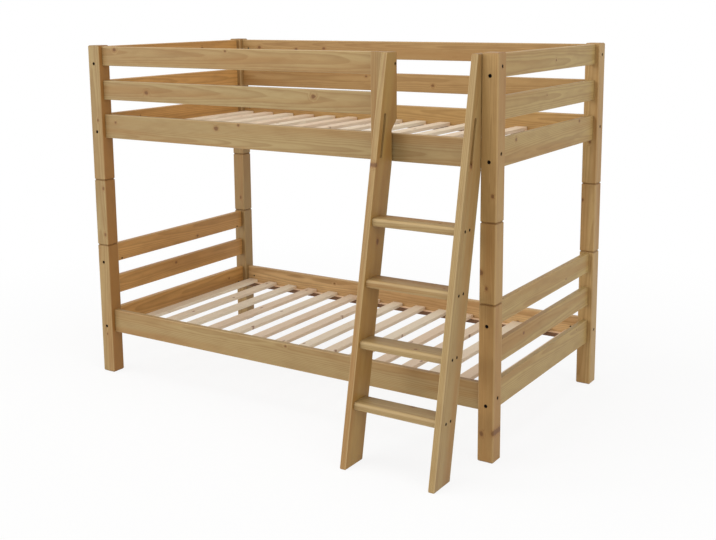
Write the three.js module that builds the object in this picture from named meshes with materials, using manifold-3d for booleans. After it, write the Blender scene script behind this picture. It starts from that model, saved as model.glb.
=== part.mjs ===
// Bunk bed in solid pine for two 990 x 1905 mm mattresses, with a slanting ladder at the front.
// Millimetres, +Z up, the front faces -Y, and the length runs along X.
// Two like modules of post, end and side rails stand one above the other on 310 mm spacer posts.
import * as THREE from "three";
import Module from "manifold-3d";

const wasm = await Module();
wasm.setup();
const { Manifold } = wasm;

// Main sizes
const LENGTH = 2060;
const WIDTH = 1085;
const POST = 67;
const MODULE = 620;
const SPACER = 310;
const UPPER = MODULE + SPACER;
const HEIGHT = UPPER + MODULE;
const FIT = 0.3;

// Boards, with heights above the foot of their module
const BOARD = 26;
const SIDE_HIGH = 108;
const RAIL_HIGH = 87;
const SIDE_LOW = 197;
const SIDE_TOP = SIDE_LOW + SIDE_HIGH;
const MIDDLE_LOW = 373;
const MIDDLE_TOP = MIDDLE_LOW + RAIL_HIGH;
const TOP_TOP = MODULE - 5;
const TOP_LOW = TOP_TOP - RAIL_HIGH;
const ARRIS = 3.5;
const END_BEVEL = 1.5;
const POST_ARRIS = 5;
const POST_BEVEL = 4.5;

// Slats, let into the ledgers that carry them
const LEDGER_DEEP = 26;
const LEDGER_HIGH = 21;
const LEDGER_UP = 3;
const LEDGER_SHORT = 2;
const SLATS = 15;
const SLAT_END_GAP = 9.6;
const SLAT_WIDE = 56;
const SLAT_THICK = 16;
const SLAT_SEAT = 0.5;
const SLAT_SHORT = 1.5;
const SLAT_ARRIS = 2.5;

// Bolts: those along X hold the side and guard rails, those along Y the end rails
const SIDE_BOLT = SIDE_LOW + 57;
const GUARD_BOLT = TOP_TOP - 45;
const END_BOLTS = [SIDE_LOW + 28, TOP_LOW + 9];
const HEAD_BORE = 15;
const HEAD_DEPTH = 14;
const SHANK_BORE = 9;
const RAIL_BORE = 52;
const NUT_BORE = 10;
const NUT_IN = 40;
const NUT_DEPTH = 20;
const DOWEL = 16;
const DOWEL_LONG = 80;

// Ladder
const STILE_THICK = 26;
const STILE_FOOT = -342;
const STILE_DEEP = 123;
const LEAN = 0.202;
const STILE_TOP = HEIGHT - 4;
const CUT_CLEAR = 13;
const STILE_BEVEL = 3;
const STILE_ROUND = 6;
const TOE_ROUND = 6;
const CUT_TOP = UPPER + SIDE_TOP + 15;
const SHOULDER = 38;
const TREAD_FIRST = 233.5;
const TREAD_PITCH = 227.2;
const TREADS = 4;
const TREAD_THICK = 32;
const TREAD_DEEP = 95;
const TREAD_IN = 14;
const TREAD_ARRIS = 13;
const TREAD_BEVEL = 0.8;
const SCREW_BORE = 13;
const SCREW_DEPTH = 7;
const SCREW_AT = [42, 77];
const GROOVE_WIDE = 17;
const GROOVE_DEPTH = 8.5;
const GROOVE_LOW = UPPER + SIDE_LOW + 21;
const GROOVE_LONG = 172;
const GROOVE_IN = 34;
const LADDER_BOLT_Y = POST / 2;
const LADDER_BOLT_Z = UPPER + GUARD_BOLT;
const LADDER_HEAD = 14;
const LADDER_HEAD_HIGH = 5.5;
const LADDER_SHANK = 8;
const LADDER_SINK = 8;
const LADDER_GRIP = 45;
const SLEEVE_GRIP = 20;
const LADDER_CLEAR = 352.5;

// Guard upright at the left of the opening
const UPRIGHT_WIDE = 61.5;

const frontRail = (POST - BOARD) / 2;
const headRear = frontRail + BOARD;
const cutRear = frontRail - CUT_CLEAR;
const xEnd = LENGTH / 2;
const xPost = xEnd - POST;
const rightStile = xPost - FIT - STILE_THICK;
const leftStile = rightStile - LADDER_CLEAR - STILE_THICK;
const uprightRight = leftStile - FIT;
const uprightLeft = uprightRight - UPRIGHT_WIDE;
const halfTurn = Math.PI / 2;

const pine = 0xc9a06a;
const paleWood = 0xe2c9a2;
const steel = 0x8d8f92;

const bed = new THREE.Group();
bed.name = "bunk_bed";

// Turns a three.js geometry into a manifold solid.
function solidOf(geometry) {
  const flat = geometry.index ? geometry.toNonIndexed() : geometry;
  const position = flat.getAttribute("position");
  const keys = new Map();
  const points = [];
  const corners = [];
  for (let i = 0; i < position.count; i++) {
    const p = [position.getX(i), position.getY(i), position.getZ(i)];
    const key = p.map((v) => Math.round(v * 1000)).join(" ");
    if (!keys.has(key)) {
      keys.set(key, points.length / 3);
      points.push(...p);
    }
    corners.push(keys.get(key));
  }
  const faces = [];
  for (let i = 0; i < corners.length; i += 3) {
    const [a, b, c] = corners.slice(i, i + 3);
    if (a !== b && b !== c && c !== a) faces.push(a, b, c);
  }
  return new Manifold(
    new wasm.Mesh({
      numProp: 3,
      vertProperties: new Float32Array(points),
      triVerts: new Uint32Array(faces),
    }),
  );
}

// Adds a manifold solid to the bed as one named mesh.
function add(name, solid, colour) {
  const mesh = solid.getMesh();
  const stride = mesh.numProp;
  const positions = new Float32Array((mesh.vertProperties.length / stride) * 3);
  for (let i = 0; i < positions.length / 3; i++)
    positions.set(mesh.vertProperties.subarray(i * stride, i * stride + 3), i * 3);
  const indexed = new THREE.BufferGeometry();
  indexed.setAttribute("position", new THREE.BufferAttribute(positions, 3));
  indexed.setIndex(new THREE.BufferAttribute(mesh.triVerts, 1));
  const geometry = indexed.toNonIndexed();
  geometry.computeVertexNormals();
  const metal = colour === steel;
  const material = new THREE.MeshStandardMaterial({
    color: colour,
    roughness: metal ? 0.35 : 0.6,
    metalness: metal ? 1 : 0,
  });
  material.name = name + "_material";
  const part = new THREE.Mesh(geometry, material);
  part.name = name;
  bed.add(part);
}

function roundedRectangle(wide, high, radius) {
  const w = wide / 2;
  const h = high / 2;
  const shape = new THREE.Shape();
  shape.moveTo(-w + radius, -h);
  shape.lineTo(w - radius, -h);
  shape.absarc(w - radius, -h + radius, radius, -halfTurn, 0, false);
  shape.lineTo(w, h - radius);
  shape.absarc(w - radius, h - radius, radius, 0, halfTurn, false);
  shape.lineTo(-w + radius, h);
  shape.absarc(-w + radius, h - radius, radius, halfTurn, 2 * halfTurn, false);
  shape.lineTo(-w, -h + radius);
  shape.absarc(-w + radius, -h + radius, radius, 2 * halfTurn, 3 * halfTurn, false);
  return shape;
}

function extruded(shape, length, bevel, rounds) {
  const geometry = new THREE.ExtrudeGeometry(shape, {
    depth: length - 2 * bevel,
    bevelEnabled: bevel > 0,
    bevelThickness: bevel,
    bevelSize: bevel,
    bevelOffset: -bevel,
    bevelSegments: 1,
    curveSegments: rounds,
  });
  return geometry.translate(0, 0, bevel);
}

// A board with eased arrises between two corners; its grain runs along the named axis.
function board(axis, low, high, arris = ARRIS, bevel = END_BEVEL, rounds = 1) {
  const size = high.map((v, i) => v - low[i]);
  const middle = low.map((v, i) => (v + high[i]) / 2);
  let geometry;
  if (axis === "x") {
    geometry = extruded(roundedRectangle(size[2], size[1], arris), size[0], bevel, rounds);
    geometry.rotateY(halfTurn).translate(low[0], middle[1], middle[2]);
  } else if (axis === "y") {
    geometry = extruded(roundedRectangle(size[0], size[2], arris), size[1], bevel, rounds);
    geometry.rotateX(halfTurn).translate(middle[0], high[1], middle[2]);
  } else {
    geometry = extruded(roundedRectangle(size[0], size[1], arris), size[2], bevel, rounds);
    geometry.translate(middle[0], middle[1], low[2]);
  }
  return solidOf(geometry);
}

// A round bore or pin that starts at a point and runs along +axis.
function round(axis, from, diameter, length, sides = 12) {
  const pin = new THREE.CylinderGeometry(diameter / 2, diameter / 2, length, sides);
  pin.translate(0, length / 2, 0);
  if (axis === "x") pin.rotateZ(-halfTurn);
  if (axis === "z") pin.rotateX(halfTurn);
  return solidOf(pin.translate(...from));
}

// Bores of one bolt through a post: a wide one for the head on the outer face, and the shank's.
function boltBores(axis, x, y, z, side) {
  const long = POST + 2;
  const head = HEAD_DEPTH + 1;
  const outer = side * (POST / 2 + 1);
  const start = side > 0 ? outer - head : outer;
  const headFrom = axis === "x" ? [x + start, y, z] : [x, y + start, z];
  const shankFrom = axis === "x" ? [x - long / 2, y, z] : [x, y - long / 2, z];
  return [round(axis, headFrom, HEAD_BORE, head), round(axis, shankFrom, SHANK_BORE, long, 8)];
}

// Posts: lower post, spacer and upper post at each corner, joined by dowels
const corners = [
  ["front_left", -1, -1],
  ["front_right", 1, -1],
  ["rear_left", -1, 1],
  ["rear_right", 1, 1],
];
const stages = [
  ["lower_post", 0, MODULE, [SIDE_BOLT], END_BOLTS],
  ["spacer_post", MODULE, UPPER, [], []],
  ["upper_post", UPPER, HEIGHT, [SIDE_BOLT, GUARD_BOLT], END_BOLTS],
];
const half = DOWEL_LONG / 2;

for (const [corner, sx, sy] of corners) {
  const x = sx * (xEnd - POST / 2);
  const y = WIDTH / 2 + sy * (WIDTH / 2 - POST / 2);
  for (const [kind, base, top, sideBolts, endBolts] of stages) {
    const low = base === 0 ? 0 : base + FIT;
    const post = board(
      "z",
      [x - POST / 2, y - POST / 2, low],
      [x + POST / 2, y + POST / 2, top],
      POST_ARRIS,
      POST_BEVEL,
    );
    const bores = [];
    for (const z of sideBolts) bores.push(...boltBores("x", x, y, base + z, sx));
    for (const z of endBolts) bores.push(...boltBores("y", x, y, base + z, sy));
    for (const joint of [MODULE, UPPER]) {
      const socket = half + 1;
      if (joint === base) bores.push(round("z", [x, y, joint - 1], DOWEL + 2 * FIT, socket + 1));
      if (joint === top) bores.push(round("z", [x, y, joint - socket], DOWEL + 2 * FIT, socket + 1));
    }
    add(corner + "_" + kind, Manifold.difference([post, ...bores]), pine);
  }
  for (const [joint, name] of [
    [MODULE, "lower_dowel"],
    [UPPER, "upper_dowel"],
  ])
    add(corner + "_" + name, round("z", [x, y, joint - half], DOWEL, DOWEL_LONG), steel);
}

// End rails: three at each end of each module, run between the posts along Y
const railHeights = [
  ["low", SIDE_LOW, SIDE_TOP, END_BOLTS[0]],
  ["middle", MIDDLE_LOW, MIDDLE_TOP, null],
  ["top", TOP_LOW, TOP_TOP, END_BOLTS[1]],
];

for (const [stage, base] of [
  ["lower", 0],
  ["upper", UPPER],
])
  for (const [side, sx] of [
    ["left", -1],
    ["right", 1],
  ])
    for (const [kind, low, top, bolt] of railHeights) {
      const outer = sx * (xEnd - frontRail);
      const inner = outer - sx * BOARD;
      const x = [Math.min(outer, inner), Math.max(outer, inner)];
      const y = [POST + FIT, WIDTH - POST - FIT];
      const rail = board("y", [x[0], y[0], base + low], [x[1], y[1], base + top]);
      const bores = [];
      if (bolt !== null)
        for (const [from, nut] of [
          [y[0] - 1, y[0] + NUT_IN],
          [y[1] + 1 - RAIL_BORE, y[1] - NUT_IN],
        ]) {
          const nutFrom = sx > 0 ? inner - 1 : inner - NUT_DEPTH;
          bores.push(round("y", [(x[0] + x[1]) / 2, from, base + bolt], SHANK_BORE, RAIL_BORE, 8));
          bores.push(round("x", [nutFrom, nut, base + bolt], NUT_BORE, NUT_DEPTH + 1, 10));
        }
      add(
        stage + "_" + side + "_end_rail_" + kind,
        bores.length ? Manifold.difference([rail, ...bores]) : rail,
        pine,
      );
    }

// Side and guard rails along X, with a bore and a barrel nut hole at each bolted end
function longRail(name, rear, x0, x1, low, top, bolt) {
  const outer = rear ? WIDTH - frontRail : frontRail;
  const inner = rear ? outer - BOARD : outer + BOARD;
  const y = [Math.min(outer, inner), Math.max(outer, inner)];
  const rail = board("x", [x0, y[0], low], [x1, y[1], top]);
  const bores = [];
  const ends = [
    [x0 - 1, x0 + NUT_IN],
    [x1 + 1 - RAIL_BORE, x1 - NUT_IN],
  ];
  if (bolt !== null)
    for (const [from, nut] of ends) {
      const nutFrom = rear ? inner - 1 : inner - NUT_DEPTH;
      bores.push(round("x", [from, (y[0] + y[1]) / 2, bolt], SHANK_BORE, RAIL_BORE, 8));
      bores.push(round("y", [nut, nutFrom, bolt], NUT_BORE, NUT_DEPTH + 1, 10));
    }
  add(name, bores.length ? Manifold.difference([rail, ...bores]) : rail, pine);
}

const xRail = xPost - FIT;
for (const [stage, base] of [
  ["lower", 0],
  ["upper", UPPER],
])
  for (const [side, rear] of [
    ["front", false],
    ["rear", true],
  ])
    longRail(
      stage + "_" + side + "_side_rail",
      rear,
      -xRail,
      xRail,
      base + SIDE_LOW,
      base + SIDE_TOP,
      base + SIDE_BOLT,
    );

for (const [kind, low, top, bolt] of [
  ["middle", MIDDLE_LOW, MIDDLE_TOP, null],
  ["top", TOP_LOW, TOP_TOP, UPPER + GUARD_BOLT],
]) {
  longRail("rear_guard_rail_" + kind, true, -xRail, xRail, UPPER + low, UPPER + top, bolt);
  longRail(
    "front_guard_rail_" + kind,
    false,
    -xRail,
    uprightRight,
    UPPER + low,
    UPPER + top,
    bolt,
  );
}

// Slat bases: slats across two ledgers, which lie along the inner faces of the side rails
const slatPitch = (2 * (xPost - SLAT_END_GAP) - SLAT_WIDE) / (SLATS - 1);

for (const [stage, base] of [
  ["lower", 0],
  ["upper", UPPER],
]) {
  const ledgerLow = base + SIDE_LOW + LEDGER_UP;
  const ledgerTop = ledgerLow + LEDGER_HIGH;
  const slatLow = ledgerTop - SLAT_SEAT;
  const inner = frontRail + BOARD + FIT;
  const reach = xRail - LEDGER_SHORT;
  const pieces = [inner, WIDTH - inner - LEDGER_DEEP].map((y) =>
    board("x", [-reach, y, ledgerLow], [reach, y + LEDGER_DEEP, ledgerTop], 2, 1),
  );
  for (let i = 0; i < SLATS; i++) {
    const x = (i - (SLATS - 1) / 2) * slatPitch;
    pieces.push(
      board(
        "y",
        [x - SLAT_WIDE / 2, inner + SLAT_SHORT, slatLow],
        [x + SLAT_WIDE / 2, WIDTH - inner - SLAT_SHORT, slatLow + SLAT_THICK],
        SLAT_ARRIS,
        0,
      ),
    );
  }
  add(stage + "_slat_base", Manifold.union(pieces), paleWood);
}

// Guard upright: a board on the front of the guard rails that ends level with the side rail's foot
const uprightFront = frontRail - FIT - BOARD;
const upright = board(
  "z",
  [uprightLeft, uprightFront, UPPER + SIDE_LOW],
  [uprightRight, frontRail - FIT, STILE_TOP],
);
add("guard_upright", upright, pine);

// Ladder stiles: leaning boards with a level foot, a back cut to pass the side rail, and hand grooves
const frontAt = (z) => STILE_FOOT + LEAN * z;
const rearAt = (z) => frontAt(z) + STILE_DEEP;
const cutLow = (cutRear - STILE_DEEP - STILE_FOOT) / LEAN;
const outlineRadii = [TOE_ROUND, 4, ...Array(5).fill(STILE_ROUND)];
const outline = [
  [STILE_FOOT, 0],
  [rearAt(0), 0],
  [cutRear, cutLow],
  [cutRear, CUT_TOP],
  [headRear, CUT_TOP + SHOULDER],
  [headRear, STILE_TOP],
  [frontAt(STILE_TOP), STILE_TOP],
];

// A shape with its corners rounded, each by the radius that it is given.
function roundedOutline(points, radii) {
  const shape = new THREE.Shape();
  points.forEach((corner, i) => {
    const p = new THREE.Vector2(...corner);
    const before = new THREE.Vector2(...points.at(i - 1)).sub(p).normalize();
    const after = new THREE.Vector2(...points[(i + 1) % points.length]).sub(p).normalize();
    const back = radii[i] / Math.tan(before.angleTo(after) / 2);
    const start = p.clone().addScaledVector(before, back);
    const end = p.clone().addScaledVector(after, back);
    if (i === 0) shape.moveTo(start.x, start.y);
    else shape.lineTo(start.x, start.y);
    shape.quadraticCurveTo(p.x, p.y, end.x, end.y);
  });
  shape.closePath();
  return shape;
}

const grooveRise = GROOVE_LONG - GROOVE_WIDE;
const grooveShape = new THREE.Shape();
grooveShape.absarc(0, grooveRise / 2, GROOVE_WIDE / 2, 0, Math.PI, false);
grooveShape.absarc(0, -grooveRise / 2, GROOVE_WIDE / 2, Math.PI, 2 * Math.PI, false);
grooveShape.closePath();
const grooveMiddle = GROOVE_LOW + GROOVE_LONG / 2;

const treadHeights = Array.from({ length: TREADS }, (_, i) => TREAD_FIRST + i * TREAD_PITCH);

for (const [name, x, outward] of [
  ["ladder_stile_left", leftStile, -1],
  ["ladder_stile_right", rightStile, 1],
]) {
  const body = extruded(roundedOutline(outline, outlineRadii), STILE_THICK, STILE_BEVEL, 2)
    .rotateY(halfTurn)
    .rotateX(halfTurn)
    .translate(x, 0, 0);
  const groove = new THREE.ExtrudeGeometry(grooveShape, {
    depth: GROOVE_DEPTH + 1,
    bevelEnabled: false,
    curveSegments: 3,
  })
    .rotateZ(-Math.atan(LEAN))
    .rotateY(halfTurn)
    .rotateX(halfTurn)
    .translate(0, frontAt(grooveMiddle) + GROOVE_IN, grooveMiddle);
  const bores = [x - 1, x + STILE_THICK - GROOVE_DEPTH].map((from) =>
    solidOf(groove.clone().translate(from, 0, 0)),
  );
  const screwFrom = outward > 0 ? x + STILE_THICK - SCREW_DEPTH : x - 1;
  for (const z of treadHeights)
    for (const back of SCREW_AT)
      bores.push(round("x", [screwFrom, frontAt(z) + back, z], SCREW_BORE, SCREW_DEPTH + 1, 8));
  const headFrom = outward > 0 ? x - 1 : x + STILE_THICK - LADDER_SINK;
  const bolt = [LADDER_BOLT_Y, LADDER_BOLT_Z];
  bores.push(round("x", [headFrom, ...bolt], LADDER_HEAD + 2 * FIT, LADDER_SINK + 1));
  bores.push(round("x", [x - 1, ...bolt], LADDER_SHANK + 2 * FIT, STILE_THICK + 2));
  add(name, Manifold.difference([solidOf(body), ...bores]), pine);
}

treadHeights.forEach((z, i) => {
  const front = frontAt(z) + TREAD_IN;
  add(
    "ladder_tread_" + (i + 1),
    board(
      "x",
      [leftStile + STILE_THICK + FIT, front, z - TREAD_THICK / 2],
      [rightStile - FIT, front + TREAD_DEEP, z + TREAD_THICK / 2],
      TREAD_ARRIS,
      TREAD_BEVEL,
      3,
    ),
    pine,
  );
});

// Ladder bolts: the left one runs into the end of the top guard rail. The right one is a sleeve nut
// for the bolt that comes through the near post.
const headHold = STILE_THICK - LADDER_SINK;
const leftHead = leftStile + STILE_THICK - LADDER_SINK + FIT;
const rightHead = rightStile + LADDER_SINK - FIT;
for (const [name, headFrom, shankFrom, grip] of [
  ["ladder_bolt_left", leftHead, leftHead - headHold - LADDER_GRIP, LADDER_GRIP],
  ["ladder_bolt_right", rightHead - LADDER_HEAD_HIGH, rightHead - 1, SLEEVE_GRIP],
]) {
  const bolt = [LADDER_BOLT_Y, LADDER_BOLT_Z];
  add(
    name,
    Manifold.union([
      round("x", [headFrom, ...bolt], LADDER_HEAD, LADDER_HEAD_HIGH),
      round("x", [shankFrom, ...bolt], LADDER_SHANK, headHold + grip + 1),
    ]),
    steel,
  );
}

// The origin is the middle of the box's foot
const box = new THREE.Box3().setFromObject(bed);
bed.position.y = -(box.min.y + box.max.y) / 2;

export default bed;
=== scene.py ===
import math

import bpy
import numpy as np
from mathutils import Matrix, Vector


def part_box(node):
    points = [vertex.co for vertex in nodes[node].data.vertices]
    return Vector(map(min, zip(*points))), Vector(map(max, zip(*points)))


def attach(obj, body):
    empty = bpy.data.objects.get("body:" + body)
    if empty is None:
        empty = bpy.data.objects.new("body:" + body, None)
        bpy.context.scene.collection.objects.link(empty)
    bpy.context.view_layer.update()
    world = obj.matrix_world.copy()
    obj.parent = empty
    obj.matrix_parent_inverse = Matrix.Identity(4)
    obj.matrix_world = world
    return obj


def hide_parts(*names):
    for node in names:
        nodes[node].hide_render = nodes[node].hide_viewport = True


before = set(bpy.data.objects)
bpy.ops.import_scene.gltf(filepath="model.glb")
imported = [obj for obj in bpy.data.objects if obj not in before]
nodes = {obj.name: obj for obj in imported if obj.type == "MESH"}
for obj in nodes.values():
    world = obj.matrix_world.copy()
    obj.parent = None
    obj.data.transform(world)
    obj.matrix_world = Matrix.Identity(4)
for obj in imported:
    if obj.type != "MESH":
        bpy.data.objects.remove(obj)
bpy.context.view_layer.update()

# The photographer's place: to the right of the ladder, a little above the top of the guard rails.
# Lens and place were solved from the bed's corners in the 716 x 540 picture, with as much lens
# shift as leaves the whole bed in the other views. Lengths are in metres and angles in radians.
photo_width = 716
sensor_width = 36
focal_pixels = 1069.5
lens_shift = -0.1043
camera_place = (2.6712, -3.8550, 1.7154)
camera_turn = 0.5714
camera_dip = 0.1749
camera_roll = 0.0082

camera_data = bpy.data.cameras.new("camera")
camera_data.sensor_width = sensor_width
camera_data.lens = focal_pixels / photo_width * sensor_width
camera_data.shift_y = lens_shift
camera = bpy.data.objects.new("camera", camera_data)
bpy.context.scene.collection.objects.link(camera)
camera.matrix_world = (
    Matrix.Translation(camera_place)
    @ Matrix.Rotation(camera_turn, 4, "Z")
    @ Matrix.Rotation(math.pi / 2 - camera_dip, 4, "X")
    @ Matrix.Rotation(-camera_roll, 4, "Z")
)
bpy.context.scene.camera = camera
bpy.context.scene.view_settings.view_transform = "Standard"


# The studio: a white room with a white floor, which keeps the bed's soft shadow.
# Even light falls from the left, the front and the right, and a lamp hangs overhead.
class Field:
    """A socket of a node tree. Arithmetic on it adds Math nodes, and node() adds any other node."""

    def __init__(self, socket):
        self.socket = socket

    def node(self, kind, settings=None, inputs=None, output=0):
        tree = self.socket.id_data
        made = tree.nodes.new(kind)
        for name, value in (settings or {}).items():
            setattr(made, name, value)
        for key, value in (inputs or {}).items():
            if isinstance(value, Field):
                tree.links.new(value.socket, made.inputs[key])
            else:
                made.inputs[key].default_value = value
        return Field(made.outputs[output]) if made.outputs else None

    def maths(self, operation, *others):
        values = dict(enumerate((self, *others)))
        return self.node("ShaderNodeMath", {"operation": operation}, values)

    def vector(self, operation, *others, output=0):
        values = dict(enumerate((self, *others)))
        return self.node("ShaderNodeVectorMath", {"operation": operation}, values, output)

    def __add__(self, other):
        return self.maths("ADD", other)

    def __sub__(self, other):
        return self.maths("SUBTRACT", other)

    def __rsub__(self, other):
        return (self * -1).maths("ADD", other)

    def __mul__(self, other):
        return self.maths("MULTIPLY", other)

    __radd__ = __add__
    __rmul__ = __mul__

    def smooth(self, low, high):
        """A soft step from 0 where the field is low to 1 where it is high."""
        settings = {"interpolation_type": "SMOOTHSTEP"}
        return self.node("ShaderNodeMapRange", settings, {0: self, 1: low, 2: high})

    def blend(self, first, second):
        """The first colour where the field is 0, the second where it is 1."""
        values = {0: self, 6: first, 7: second}
        return self.node("ShaderNodeMix", {"data_type": "RGBA"}, values, 2)

    def noise(self, waves, detail=2.0):
        """Noise of this vector, with so many waves in a metre along each of its axes."""
        values = {"Vector": self.vector("MULTIPLY", waves), "Scale": 1.0, "Detail": detail}
        return self.node("ShaderNodeTexNoise", {}, values)


def start_paint(name):
    """A new material that has only its output, and its Object coordinates."""
    paint = bpy.data.materials.new(name)
    paint.use_nodes = True
    tree = paint.node_tree
    tree.nodes.remove(tree.nodes["Principled BSDF"])
    return paint, Field(tree.nodes.new("ShaderNodeTexCoord").outputs["Object"])


def end_paint(shader, end="Material Output"):
    """Joins a shader to the output of its material, or of the world."""
    tree = shader.socket.id_data
    tree.links.new(shader.socket, tree.nodes[end].inputs["Surface"])


def seen_white(start):
    """1 for the rays that show the room itself: to the camera, in a gloss or through glass."""
    camera_ray = start.node("ShaderNodeLightPath", output="Is Camera Ray")
    path = camera_ray.socket.node.outputs
    glossy_ray = Field(path["Is Glossy Ray"])
    clear_ray = Field(path["Is Transmission Ray"])
    return camera_ray.maths("MAXIMUM", glossy_ray).maths("MAXIMUM", clear_ray)


floor_half = 14.0
floor_colour = (0.9, 0.9, 0.895, 1)
room_white = (1, 1, 1, 1)
shadow_near = 1.5
shadow_far = 3.4
shadow_lift = 0.86

corner_x, corner_y = np.meshgrid([-floor_half, floor_half], [-floor_half, floor_half], indexing="ij")
floor_points = np.stack([corner_x, corner_y, np.zeros((2, 2))], -1).reshape(-1, 3)
floor_mesh = bpy.data.meshes.new("studio_floor")
floor_mesh.from_pydata(floor_points.tolist(), [], [(0, 2, 3, 1)])
floor = bpy.data.objects.new("studio_floor", floor_mesh)
bpy.context.scene.collection.objects.link(floor)

floor_paint, floor_place = start_paint("studio_floor")
floor_away = floor_place.vector("LENGTH", output="Value")
floor_fade = floor_away.smooth(shadow_near, shadow_far) * (1 - shadow_lift) + shadow_lift
floor_matt = floor_place.node("ShaderNodeBsdfDiffuse", {}, {"Color": floor_colour})
floor_glow = floor_place.node("ShaderNodeEmission", {}, {"Color": room_white, "Strength": 1.0})
floor_mix = {0: floor_fade * seen_white(floor_place), 1: floor_matt, 2: floor_glow}
end_paint(floor_place.node("ShaderNodeMixShader", {}, floor_mix))
floor_mesh.materials.append(floor_paint)

room_light = 0.635
room = bpy.data.worlds.new("studio")
room.use_nodes = True
room_fill = Field(room.node_tree.nodes["Background"].outputs[0])
room_fill.socket.node.inputs["Strength"].default_value = room_light
room_fill.socket.node.inputs["Color"].default_value = room_white
room_shown = room_fill.node("ShaderNodeBackground", {}, {"Color": room_white, "Strength": 1.0})
room_mix = {0: seen_white(room_fill), 1: room_fill, 2: room_shown}
end_paint(room_fill.node("ShaderNodeMixShader", {}, room_mix), "World Output")
bpy.context.scene.world = room

lamp_aim = (0, 0, 0.7)
spread_of = {"SUN": "angle", "AREA": "size"}
lamps = (
    ("left_light", "SUN", (-8.0, -5.2, 3.4), 0.35, 0.72),
    ("front_light", "SUN", (-3.2, -6.4, 3.2), 0.45, 0.66),
    ("right_light", "SUN", (5.0, -1.6, 1.6), 0.6, 0.72),
    ("top_lamp", "AREA", (0.4, -0.8, 5.6), 3.0, 90),
)
for lamp_name, lamp_kind, lamp_place, lamp_spread, lamp_power in lamps:
    lamp_data = bpy.data.lights.new(lamp_name, lamp_kind)
    setattr(lamp_data, spread_of[lamp_kind], lamp_spread)
    lamp_data.energy = lamp_power
    lamp = bpy.data.objects.new(lamp_name, lamp_data)
    bpy.context.scene.collection.objects.link(lamp)
    away = np.subtract(lamp_place, lamp_aim)
    turn = math.atan2(away[1], away[0]) + math.pi / 2
    tilt = math.atan2(math.hypot(away[0], away[1]), away[2])
    lamp.matrix_world = (
        Matrix.Translation(lamp_place)
        @ Matrix.Rotation(turn, 4, "Z")
        @ Matrix.Rotation(tilt, 4, "X")
    )


# Side rails and guard rails: planed pine boards 26 mm thick, clear-lacquered, grain along the bed.
# A bed bolt through the post pulls each board tight, into a barrel nut near the board's end.
def shade(red, green, blue):
    """The linear colour of an 8-bit sRGB one: ((v + 0.055) / 1.055) to the power 2.4."""
    parts = (np.array([red, green, blue]) / 255 + 0.055) / 1.055
    return (*np.power(parts, 2.4).tolist(), 1.0)


chance = np.random.default_rng(41)
ring_width = 0.0052
ring_wobble = 0.016
knot_swelling = 0.010
knot_squash = 0.75
grain_strength = 0.25
grain_relief = 0.0004
pine_gloss = 0.3
early_wood = shade(165, 142, 97)
warm_wood = shade(190, 146, 86)
late_wood = shade(124, 86, 42)
warm_streak = shade(150, 104, 52)
knot_ring = shade(140, 92, 44)
knot_core = shade(92, 54, 26)
# Paler arrises: partly sanding wear, partly a painted highlight where light catches the edges
sanded_edge_and_highlight = shade(194, 167, 121)
end_wood = shade(118, 82, 44)

# Waves in a metre of each pattern, along, across and through a board
knot_edge_waves = (60, 160, 160)
ring_wobble_waves = (1.6, 7, 7)
streak_waves = (0.9, 15, 15)
mottle_waves = (9, 34, 34)
fibre_waves = (22, 700, 700)

# Trees differ, and light falls differently on some boards: the early wood of the boards that aren't
# like the front ones, by words in their names.
# Part of each tone is painted light and shade: paler where a board is lit more, darker or more orange
# where it stands in shade.
board_tones_and_light = {
    "left_end_rail": shade(194, 146, 84),
    "right_end_rail": shade(174, 148, 94),
    "lower_rear_side_rail": shade(212, 176, 124),
    "upper_rear_side_rail": shade(184, 148, 92),
    "rear_guard_rail": shade(170, 136, 86),
    "rear_left": shade(153, 126, 82),
    "front_right": shade(174, 140, 87),
    "rear_right": shade(180, 148, 96),
    "ladder_stile": shade(165, 139, 91),
    "ladder_tread": shade(163, 139, 94),
}

# Painted shade: boards whose right-facing side is painted warmer and darker, as where less light falls
# on it
shaded_right_woods = {
    "front_left": shade(150, 106, 52),
    "ladder_stile_left": shade(172, 139, 78),
}

# Knots that the boards show, each as place along, place across and radius, from the board's middle
seen_knots = {
    "front_guard_rail_middle": [(-0.494, -0.002, 0.0055), (0.412, 0.015, 0.0055)],
    "front_guard_rail_top": [(-0.681, 0.029, 0.0050), (-0.036, 0.033, 0.0030)],
    "upper_front_side_rail": [
        (-0.300, 0.025, 0.0060),
        (-0.178, 0.045, 0.0035),
        (-0.896, 0.020, 0.0035),
    ],
    "lower_front_side_rail": [(0.046, 0.044, 0.0030)],
    "rear_guard_rail_top": [
        (-0.849, 0.004, 0.0050),
        (-0.609, -0.001, 0.0045),
        (-0.570, -0.021, 0.0050),
        (-0.435, 0.004, 0.0045),
    ],
    "front_right_lower_post": [(-0.198, -0.016, 0.0050), (-0.187, 0.034, 0.0060)],
    "front_right_spacer_post": [(-0.035, -0.026, 0.0055), (-0.093, -0.003, 0.0040)],
    "front_left_spacer_post": [(0.116, 0.022, 0.0040), (-0.103, 0.020, 0.0040)],
    "upper_right_end_rail_low": [(-0.336, 0.035, 0.0045), (0.310, 0.045, 0.0045)],
    "ladder_stile_left": [(0.069, 0.032, 0.0060), (0.356, -0.034, 0.0045)],
    "ladder_stile_right": [(0.384, -0.002, 0.0060)],
}


def scattered(length, height, apart=0.9):
    """Places of knots on a board: one for each stretch apart, anywhere in it, and its radius."""
    count = max(1, round(length / apart))
    along = (np.arange(count) + chance.uniform(0.1, 0.9, count)) / count - 0.5
    across = chance.uniform(-0.38, 0.38, count)
    radius = chance.uniform(0.002, 0.0045, count)
    return np.stack([along * length, across * height, radius], -1).tolist()


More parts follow.
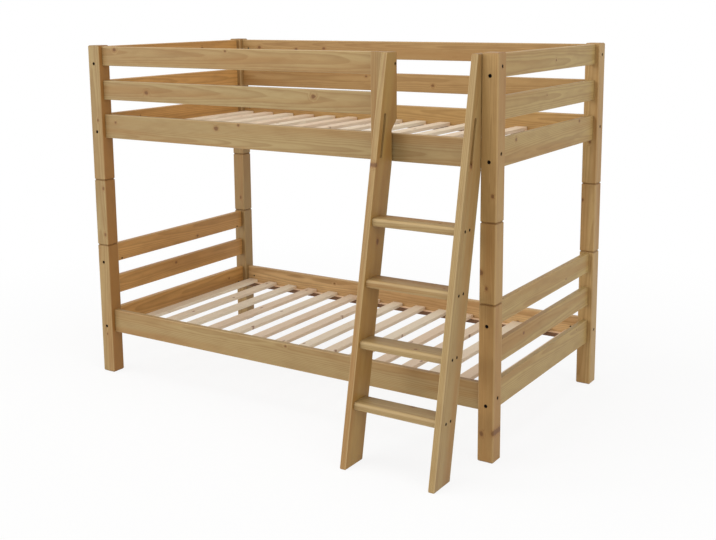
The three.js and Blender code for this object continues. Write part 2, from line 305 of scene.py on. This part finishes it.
def tinted(colour, layers):
    """The colour with layers of tint laid over it, each as where it lies, how strong, and its tint."""
    for place, strength, tint in layers:
        colour = (place * strength).blend(colour, tint)
    return colour


def cover(node, paint):
    """Gives a CAD node one material for all its faces."""
    materials = nodes[node].data.materials
    materials.clear()
    materials.append(paint)


def pine(node, axes, lean=0.0):
    """Lacquered pine for a CAD node. axes names the axes along, across and through the board.

    Growth rings are cylinders round a pith line outside the board: ring = the fraction that is
    left of (distance to the pith + wobble + swelling round the knots) / ring width. A board that
    leans has its coordinates turned by lean round X first, so that the grain follows it.
    """
    low, high = (np.array(corner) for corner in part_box(node))
    middle = (low + high) / 2
    size = dict(zip("xyz", high - low))
    length, height = size[axes[0]], size[axes[1]]
    knots = seen_knots.get(node) or scattered(length, height)
    pith = (chance.uniform(-0.4, 0.4) * height, chance.choice([-1, 1]) * chance.uniform(0.03, 0.07))
    shift = chance.uniform(0, 40, 3).tolist()
    taper = chance.uniform(-0.02, 0.02, 2).tolist()
    warmth = chance.uniform(0.0, 0.2)
    front_wood = [np.interp(warmth, (0, 1), pair) for pair in zip(early_wood, warm_wood)]
    # Each board's tone, partly painted light and shade for the boards named above
    tone_and_light = next((wood for words, wood in board_tones_and_light.items() if words in node), front_wood)
    shaded_right_wood = next((wood for words, wood in shaded_right_woods.items() if words in node), tone_and_light)

    paint, place = start_paint(node)
    centred = place.vector("SUBTRACT", middle.tolist())
    if lean:
        values = {"Vector": centred, "Rotation": (lean, 0, 0)}
        centred = centred.node("ShaderNodeMapping", {}, values)
    split = centred.node("ShaderNodeSeparateXYZ", {}, {0: centred}).socket.node.outputs
    along, across, through = (Field(split["XYZ".index(axis.upper())]) for axis in axes)
    board = along.node("ShaderNodeCombineXYZ", {}, {0: along, 1: across, 2: through})
    grain = board.vector("ADD", shift)
    face = along.node("ShaderNodeCombineXYZ", {}, {0: along * knot_squash, 1: across})

    swirl = grain.noise(knot_edge_waves) * 1.4 - 0.7
    swell, core = None, None
    for knot_along, knot_across, radius in knots:
        spot = (knot_along * knot_squash, knot_across, 0)
        near = face.vector("DISTANCE", spot, output="Value") * (1 / radius) + swirl
        halo = 1 - near.smooth(0.6, 4.6)
        centre = 1 - near.smooth(0.9, 1.9)
        swell = halo if swell is None else swell.maths("MAXIMUM", halo)
        core = centre if core is None else core.maths("MAXIMUM", centre)

    wobble = grain.noise(ring_wobble_waves, 3.0) * ring_wobble
    side = across + along * taper[0] - pith[0]
    depth = through + along * taper[1] - pith[1]
    from_pith = (side * side + depth * depth).maths("SQRT")
    ring = ((from_pith + wobble + swell * knot_swelling) * (1 / ring_width)).maths("FRACT")
    late = ring.smooth(0.25, 0.88) * (1 - ring.smooth(0.92, 1.0))
    streak = grain.noise(streak_waves, 3.0)
    mottle = grain.noise(mottle_waves, 3.0)
    fibre = grain.noise(fibre_waves, 2.0)

    facing = along.node("ShaderNodeNewGeometry", output="True Normal")
    if lean:
        values = {"Vector": facing, "Rotation": (lean, 0, 0)}
        facing = facing.node("ShaderNodeMapping", {"vector_type": "VECTOR"}, values)
    normal = facing.node("ShaderNodeSeparateXYZ", {}, {0: facing}).socket.node.outputs
    to_end, to_side, to_face = (Field(normal["XYZ".index(axis.upper())]) for axis in axes)
    arris = (to_side * to_face).maths("ABSOLUTE").smooth(0.2, 0.5)
    end = to_end.maths("ABSOLUTE").smooth(0.5, 0.7)

    layers = (
        (late, 0.36, late_wood),
        (streak.smooth(0.42, 0.72), 0.55, warm_streak),
        (mottle.smooth(0.42, 0.75), 0.22, late_wood),
        (fibre.smooth(0.35, 0.75), 0.16, late_wood),
        # Edges painted paler: sanding wear and a painted highlight
        (arris, 0.5, sanded_edge_and_highlight),
        (end, 0.4, end_wood),
        (swell * swell, 0.55, knot_ring),
        (core, 0.65, knot_core),
    )
    # Painted shade: the right-facing faces of these boards take the warmer, darker colour
    right_facing = Field(normal["X"]).smooth(0.4, 0.6)
    colour = tinted(right_facing.blend(tone_and_light, shaded_right_wood), layers)
    bump = late * 0.25 + fibre * 0.6 - core * 0.5
    values = {"Strength": grain_strength, "Distance": grain_relief, "Height": bump}
    relief = bump.node("ShaderNodeBump", {}, values)
    values = {
        "Base Color": colour,
        "Roughness": streak * 0.12 + 0.44,
        "Specular IOR Level": pine_gloss,
        "Normal": relief,
    }
    end_paint(colour.node("ShaderNodeBsdfPrincipled", {}, values))
    cover(node, paint)


stages = ("lower", "upper")
side_rails = [f"{stage}_{side}_side_rail" for stage in stages for side in ("front", "rear")]
guard_rails = [f"{side}_guard_rail_{kind}" for side in ("rear", "front") for kind in ("middle", "top")]
for node in side_rails + guard_rails:
    pine(node, "xzy")

# End rails: three boards like the side rails at each end of each bed, grain along Y.
# The lowest and the top one are bolted, and the middle one is only held between the posts.
ends = [(stage, side) for stage in stages for side in ("left", "right")]
for stage, side in ends:
    for kind in ("low", "middle", "top"):
        pine(f"{stage}_{side}_end_rail_{kind}", "yzx")

# Posts: 67 mm square pine with eased corners, in three lengths one on the other.
# Steel dowels inside the joins keep them in line.
corners = [(side, end) for side in ("front", "rear") for end in ("left", "right")]
for side, end in corners:
    for kind in ("lower_post", "spacer_post", "upper_post"):
        pine(f"{side}_{end}_{kind}", "zxy")


turning_waves = (900, 900, 90)
cloud_waves = (60, 60, 60)
turning_relief = 0.0001


def metal(name, colour, rough):
    """Plated or blackened steel: turning marks, as noise that is much finer along two axes."""
    paint, place = start_paint(name)
    marks = place.noise(turning_waves, 2.0)
    cloud = place.noise(cloud_waves, 2.0)
    dull = cloud.smooth(0.3, 0.7)
    dark = tuple(value * 0.6 for value in colour[:3]) + (1.0,)
    values = {"Strength": 0.15, "Distance": turning_relief, "Height": marks}
    relief = marks.node("ShaderNodeBump", {}, values)
    values = {
        "Base Color": (dull * 0.5).blend(colour, dark),
        "Metallic": 1.0,
        "Roughness": dull * 0.15 + rough,
        "Normal": relief,
    }
    end_paint(place.node("ShaderNodeBsdfPrincipled", {}, values))
    return paint


plated_steel = metal("plated_steel", shade(150, 150, 148), 0.32)
for side, end in corners:
    for kind in ("lower_dowel", "upper_dowel"):
        cover(f"{side}_{end}_{kind}", plated_steel)

# Guard upright: an upright pine board on the front of the guard rails, left of the ladder.
# It closes the rails' free ends, beside the ladder's left stile.
pine("guard_upright", "zxy")

# Slat bases: fifteen planed spruce slats across two ledgers, unlacquered and paler than the bed.
# The ledgers lie along the inside of the side rails.
slat_pale = shade(230, 217, 193)
slat_pink = shade(222, 199, 172)
slat_late = shade(186, 152, 118)
slat_knot = shade(120, 74, 44)
# The ledgers are one wood: their pale top is painted light and their dark sides painted shade
ledger_top_lit = shade(236, 206, 172)
ledger_side_shaded = shade(118, 80, 48)
slat_pitch = 0.1322
slat_ring = 0.0046
slat_wobble = 0.02
ledger_deep = 0.026
slat_wobble_waves = (7, 1.6, 7)
slat_streak_waves = (18, 0.8, 18)
slat_fibre_waves = (700, 22, 700)
slat_knot_cells = (6.0, 3.2, 0.0)


def slat_wood(node, ledger_top):
    """Spruce slats with their grain along Y and a tint for each, on ledgers below ledger_top.

    A slat's number is the whole part of x / pitch, and white noise of it gives the slat its tint
    and its stretch of grain. Rings are planes across X: the fraction left of x / ring width.
    """
    low, high = (np.array(corner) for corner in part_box(node))
    middle = (low + high) / 2
    half_deep = (high[1] - low[1]) / 2
    paint, place = start_paint(node)
    centred = place.vector("SUBTRACT", [middle[0], middle[1], 0.0])
    split = centred.node("ShaderNodeSeparateXYZ", {}, {0: centred}).socket.node.outputs
    x, y, z = (Field(split[index]) for index in range(3))
    number = (x * (1 / slat_pitch) + 0.5).maths("FLOOR")
    seed = {"W": number * 3.7 + ledger_top * 90}
    draw = number.node("ShaderNodeTexWhiteNoise", {"noise_dimensions": "1D"}, seed)
    own = Field(draw.socket.node.outputs["Value"])
    grain = x.node("ShaderNodeCombineXYZ", {}, {0: x + number * 2.3, 1: y + own * 5, 2: z})
    streak = grain.noise(slat_streak_waves, 3.0)
    wobble = grain.noise(slat_wobble_waves, 3.0) * slat_wobble
    ring = ((x - number * slat_pitch + own * 0.05 + wobble) * (1 / slat_ring)).maths("FRACT")
    late = ring.smooth(0.3, 0.88) * (1 - ring.smooth(0.92, 1.0))
    fibre = grain.noise(slat_fibre_waves, 2.0)
    cells = {"Vector": grain.vector("MULTIPLY", slat_knot_cells), "Scale": 1.0}
    knot = grain.node("ShaderNodeTexVoronoi", {"voronoi_dimensions": "2D"}, cells)
    core = 1 - knot.smooth(0.02, 0.045)
    ledger_edge = half_deep - ledger_deep
    low_down = 1 - z.smooth(ledger_top + 0.0001, ledger_top + 0.0003)
    on_ledger = low_down * y.maths("ABSOLUTE").smooth(ledger_edge - 0.0005, ledger_edge)
    layers = (
        (late, 0.3, slat_late),
        (streak.smooth(0.45, 0.75), 0.4, slat_pink),
        (fibre.smooth(0.35, 0.75), 0.12, slat_late),
        (core, 0.8, slat_knot),
    )
    colour = tinted(own.smooth(0.0, 1.0).blend(slat_pale, slat_pink), layers)
    facing = x.node("ShaderNodeNewGeometry", output="True Normal")
    upward = Field(x.node("ShaderNodeSeparateXYZ", {}, {0: facing}).socket.node.outputs["Z"])
    # Painted light and shade on the ledgers: tops pale as lit, sides dark as in shade
    ledger_lit_and_shaded = upward.smooth(0.4, 0.6).blend(ledger_side_shaded, ledger_top_lit)
    colour = on_ledger.blend(colour, ledger_lit_and_shaded)
    bump = late * 0.3 + fibre * 0.6
    values = {"Strength": grain_strength, "Distance": grain_relief, "Height": bump}
    relief = bump.node("ShaderNodeBump", {}, values)
    values = {"Base Color": colour, "Roughness": streak * 0.1 + 0.5, "Normal": relief}
    end_paint(colour.node("ShaderNodeBsdfPrincipled", {}, values))
    cover(node, paint)


slat_wood("lower_slat_base", ledger_top=0.221)
slat_wood("upper_slat_base", ledger_top=1.151)

# Ladder: two leaning pine stiles with hand grooves, grain along the lean.
# The rounded treads stand between them, each held by two screws through each stile.
lean_per_height = 0.202
ladder_lean = math.atan(lean_per_height)
for side in ("left", "right"):
    pine(f"ladder_stile_{side}", "zyx", lean=ladder_lean)
treads = [f"ladder_tread_{number}" for number in range(1, 5)]
for node in treads:
    pine(node, "xyz")

# Bed bolts: black steel, sunk in the posts' outer faces, with a hexagon socket in the head.
# Their shanks reach the barrel nuts in the boards.
outward = {"left": (-1, 0, 0), "right": (1, 0, 0), "front": (0, -1, 0), "rear": (0, 1, 0)}
opposite = {"left": "right", "right": "left", "front": "rear", "rear": "front"}
crease = math.radians(35)


def turned_parts(name, rows, spots, paint, sides=24, slot_half=0.0006):
    """Like turned parts, one at each spot (place, direction), as one mesh.

    A row is (height, radius, form), and its outline in polar form is the radius for "round",
    radius / cos(angle to the nearest flat's middle) for "hexagon", and for "slot" the smaller
    of the radius and slot_half / |sin(angle)|. Height runs along the direction, from the face
    of the wood.
    """
    angle = np.arange(sides) * 2 * math.pi / sides
    flat = np.mod(angle + math.pi / 6, math.pi / 3) - math.pi / 6
    off_slot = np.maximum(np.abs(np.sin(angle)), 0.001)
    outline = {
        "round": lambda radius: radius + 0 * angle,
        "hexagon": lambda radius: radius / np.cos(flat),
        "slot": lambda radius: np.minimum(radius, slot_half / off_slot),
    }
    reach = np.array([outline[form](radius) for _, radius, form in rows])
    height = np.array([row[0] for row in rows])[:, None] + 0 * reach
    one = np.stack([reach * np.cos(angle), reach * np.sin(angle), height], -1).reshape(-1, 3)
    places = np.array([place for place, _ in spots], float)
    facing = np.array([direction for _, direction in spots], float)
    up = np.array([0.0, 0.0, 1.0])
    across = np.cross(up, facing)
    points = (
        places[:, None]
        + one[None, :, 0:1] * across[:, None]
        + one[None, :, 1:2] * up
        + one[None, :, 2:3] * facing[:, None]
    )
    row, column = np.meshgrid(np.arange(len(rows) - 1), np.arange(sides), indexing="ij")
    after = (column + 1) % sides
    lower = row * sides
    upper = lower + sides
    quads = np.stack([lower + column, lower + after, upper + after, upper + column], -1).reshape(-1, 4)
    caps = np.stack([np.arange(sides)[::-1], (len(rows) - 1) * sides + np.arange(sides)])
    start = (np.arange(len(spots)) * len(one))[:, None, None]
    side_faces = (quads[None] + start).reshape(-1, 4).tolist()
    end_faces = (caps[None] + start).reshape(-1, sides).tolist()
    faces = side_faces + end_faces
    mesh = bpy.data.meshes.new(name)
    mesh.from_pydata(points.reshape(-1, 3).tolist(), [], faces)
    mesh.polygons.foreach_set("use_smooth", np.ones(len(faces), bool))
    mesh.set_sharp_from_angle(angle=crease)
    mesh.materials.append(paint)
    piece = bpy.data.objects.new(name, mesh)
    bpy.context.scene.collection.objects.link(piece)
    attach(piece, "root")
    return piece


# Heights of the bolts above the foot of their own bed
foot_of = {"lower": 0.0, "upper": 0.93}
side_bolt = 0.254
guard_bolt = 0.570
end_bolts = (0.225, 0.537)
bolt_spots = []
sleeve_spots = []
for side, end in corners:
    for stage, foot in foot_of.items():
        low, high = (np.array(corner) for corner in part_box(f"{side}_{end}_{stage}_post"))
        middle = (low + high) / 2
        x_face = high[0] if end == "right" else low[0]
        y_face = high[1] if side == "rear" else low[1]
        x_heights = [side_bolt] + ([guard_bolt] if stage == "upper" else [])
        bolt_spots += [((x_face, middle[1], foot + z), outward[end]) for z in x_heights]
        bolt_spots += [((middle[0], y_face, foot + z), outward[side]) for z in end_bolts]
        if (side, end, stage) == ("front", "right", "upper"):
            sleeve_spots.append(bolt_spots.pop(-1 - len(end_bolts)))

black_steel = metal("black_steel", shade(26, 23, 21), 0.45)
shank_radius = 0.0034
point_radius = 0.0026
washer_radius = 0.0070
washer_back = -0.0138
washer_face = -0.0124
head_radius = 0.0067
head_face = -0.0014
head_bevel = 0.0007
hexagon_half = 0.0030
hexagon_taper = 0.0001
hexagon_floor = -0.0064
bolt_head = [
    (washer_back, shank_radius, "round"),
    (washer_back, washer_radius, "round"),
    (washer_face, washer_radius, "round"),
    (washer_face, head_radius, "round"),
    (head_face - head_bevel, head_radius, "round"),
    (head_face, head_radius - head_bevel, "round"),
    (head_face, hexagon_half, "hexagon"),
    (hexagon_floor, hexagon_half - hexagon_taper, "hexagon"),
]
long_shank = [(-0.1120, point_radius, "round"), (-0.1105, shank_radius, "round")]
short_shank = [(-0.0470, point_radius, "round"), (-0.0455, shank_radius, "round")]
turned_parts("bed_bolts", long_shank + bolt_head, bolt_spots, black_steel)
turned_parts("ladder_post_bolt", short_shank + bolt_head, sleeve_spots, black_steel)

# Barrel nuts: turned steel pins in the boards' inner faces, with a slot to turn them by.
# Each bed bolt screws into one, 40 mm from the end of its board.
nut_in = 0.040
nut_spots = []
for stage, side in ends:
    for kind, height in zip(("low", "top"), end_bolts):
        low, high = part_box(f"{stage}_{side}_end_rail_{kind}")
        inner = low[0] if side == "right" else high[0]
        for y in (low[1] + nut_in, high[1] - nut_in):
            nut_spots.append(((inner, y, foot_of[stage] + height), outward[opposite[side]]))
bolted = [(node, side_bolt + foot_of[node.split("_")[0]]) for node in side_rails]
bolted += [(f"{side}_guard_rail_top", foot_of["upper"] + guard_bolt) for side in ("rear", "front")]
for node, height in bolted:
    low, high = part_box(node)
    side = "rear" if "rear" in node else "front"
    inner = low[1] if side == "rear" else high[1]
    for x in (low[0] + nut_in, high[0] - nut_in):
        nut_spots.append(((x, inner, height), outward[opposite[side]]))

nut_radius = 0.0047
nut_back = -0.0180
nut_face = -0.0010
nut_bevel = 0.0008
slot_reach = 0.0036
slot_floor = -0.0028
nut_rows = [
    (nut_back, 0.0040, "round"),
    (nut_back + nut_bevel, nut_radius, "round"),
    (nut_face - nut_bevel, nut_radius, "round"),
    (nut_face, 0.0041, "round"),
    (nut_face, slot_reach, "slot"),
    (slot_floor, slot_reach, "slot"),
]
turned_parts("barrel_nuts", nut_rows, nut_spots, black_steel)

# Tread screws: two through each stile into each end of a tread, of the same black steel.
# Their cylinder heads lie in counterbores, a hair below the wood.
screw_back = (0.042, 0.077)
tread_in = 0.014
screw_spots = []
for side in ("left", "right"):
    low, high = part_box(f"ladder_stile_{side}")
    face = low[0] if side == "left" else high[0]
    for tread in treads:
        tread_low, tread_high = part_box(tread)
        height = (tread_low[2] + tread_high[2]) / 2
        for back in screw_back:
            screw_spots.append(((face, tread_low[1] - tread_in + back, height), outward[side]))

screw_head = 0.0063
screw_neck = -0.0069
screw_face = -0.0009
screw_rows = [
    (-0.0480, 0.0006, "round"),
    (-0.0440, 0.0022, "round"),
    (screw_neck, 0.0024, "round"),
    (screw_neck, screw_head, "round"),
    (screw_face - 0.0009, screw_head, "round"),
    (screw_face, 0.0056, "round"),
    (screw_face, 0.0024, "hexagon"),
    (-0.0040, 0.0023, "hexagon"),
]
turned_parts("tread_screws", screw_rows, screw_spots, black_steel)

# Ladder bolts: one through the head of each stile, into the end of the top guard rail at the left,
# and at the right a sleeve nut for the bolt that comes through the near post.
# Round heads with a hexagon socket, sunk in the stiles' inner faces.
ladder_shank = 0.0040
ladder_head = 0.0070
ladder_neck = -0.0055
for side in ("left", "right"):
    low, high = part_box(f"ladder_bolt_{side}")
    middle = (low + high) / 2
    top = high[0] if side == "left" else low[0]
    long = high[0] - low[0]
    rows = [
        (-long, 0.0030, "round"),
        (-long + 0.0010, ladder_shank, "round"),
        (ladder_neck, ladder_shank, "round"),
        (ladder_neck, ladder_head, "round"),
        (-0.0030, ladder_head, "round"),
        (-0.0012, 0.0062, "round"),
        (0.0000, 0.0044, "round"),
        (0.0000, 0.0026, "hexagon"),
        (-0.0032, 0.0025, "hexagon"),
    ]
    spot = ((top, middle[1], middle[2]), outward[opposite[side]])
    bolt = turned_parts(f"ladder_bolt_{side}_head", rows, [spot], black_steel)
    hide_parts(f"ladder_bolt_{side}")
